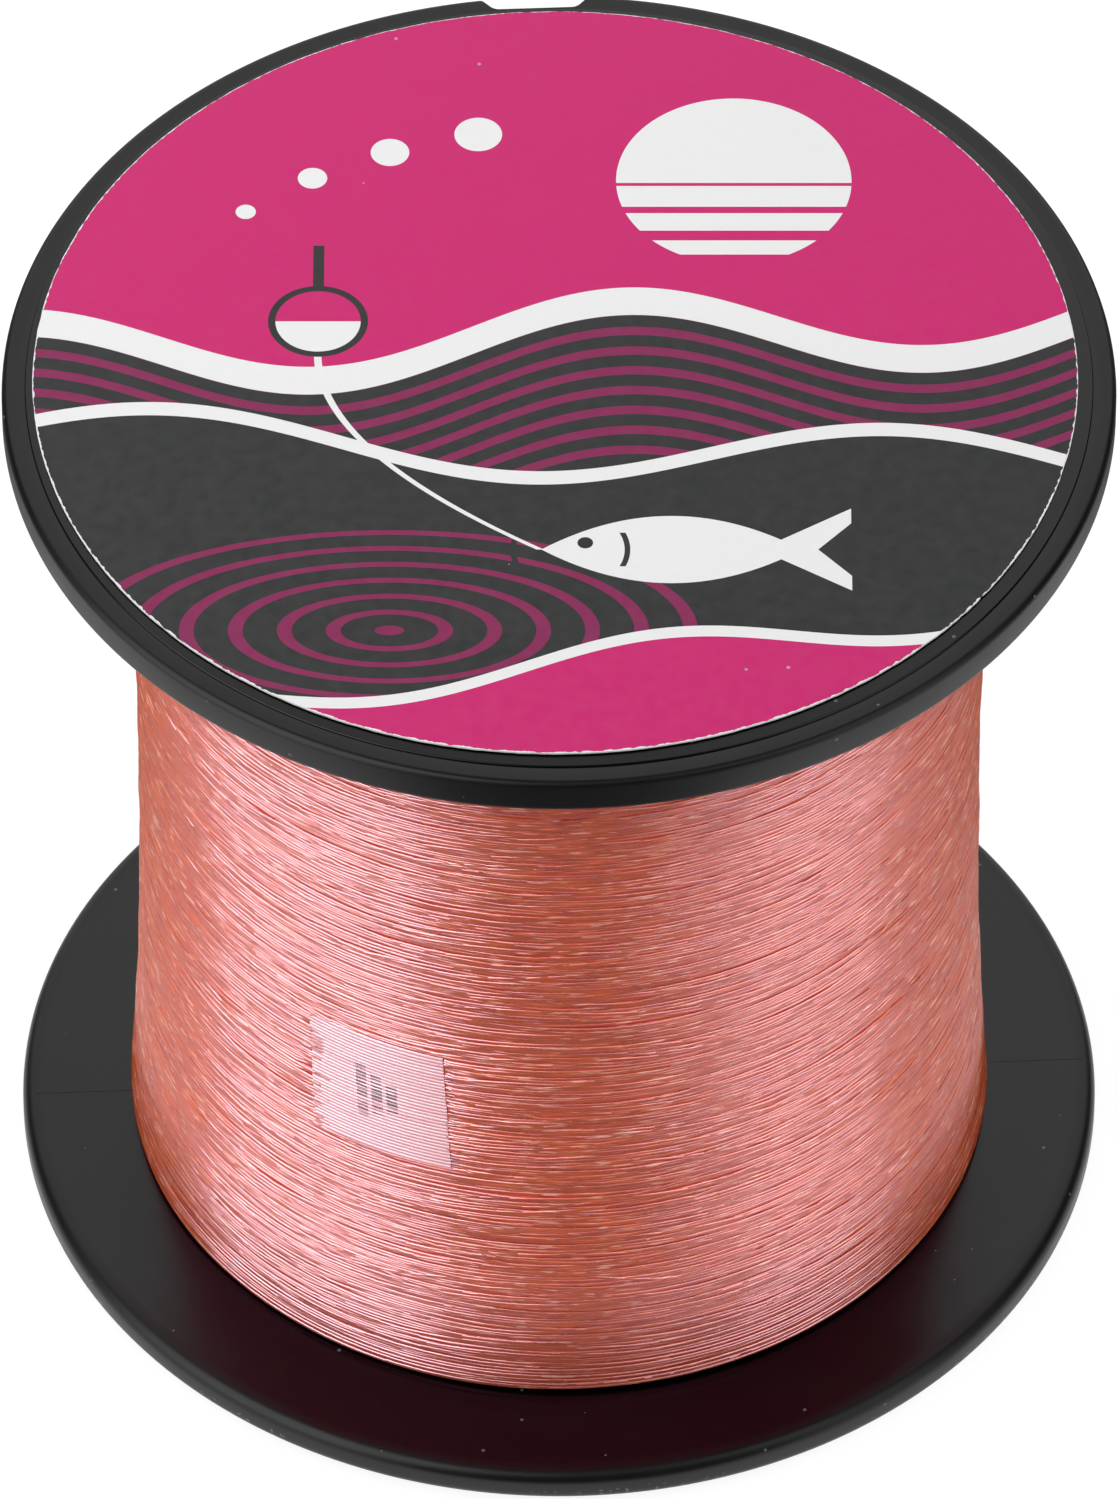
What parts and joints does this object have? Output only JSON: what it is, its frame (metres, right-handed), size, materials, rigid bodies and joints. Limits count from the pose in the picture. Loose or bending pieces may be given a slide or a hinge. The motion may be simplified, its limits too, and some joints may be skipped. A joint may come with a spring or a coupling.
{
  "type": "fishing line spool",
  "caption": "Moulded spool of fishing line: round flanges on a hollow ribbed barrel with a spindle bore, a card face label, and a full winding of fine monofilament over buried length marks.",
  "frame": {"origin": "centre of the lower outer face, on the spool's axis", "axes": "+Z along the spool's axis towards the label, +Y towards the notch in the upper rim"},
  "size_m": [0.06, 0.06, 0.0577],
  "materials": {
    "black_plastic": "moulded, satin gloss",
    "label_card": "printed card, semi-matt",
    "pink_line": "clear tinted monofilament",
    "seal_film": "thin white film seal",
    "clear_tape": "thin clear tape"
  },
  "bodies": {
    "root": {"spool_body": "black_plastic", "face_label": "label_card", "line_start_tape": "clear_tape", "line_first_100m": "pink_line", "marking_seal_100m": "seal_film", "line_second_100m": "pink_line", "marking_seal_200m": "seal_film", "line_outer_layer": "pink_line"}
  },
  "joints": []
}
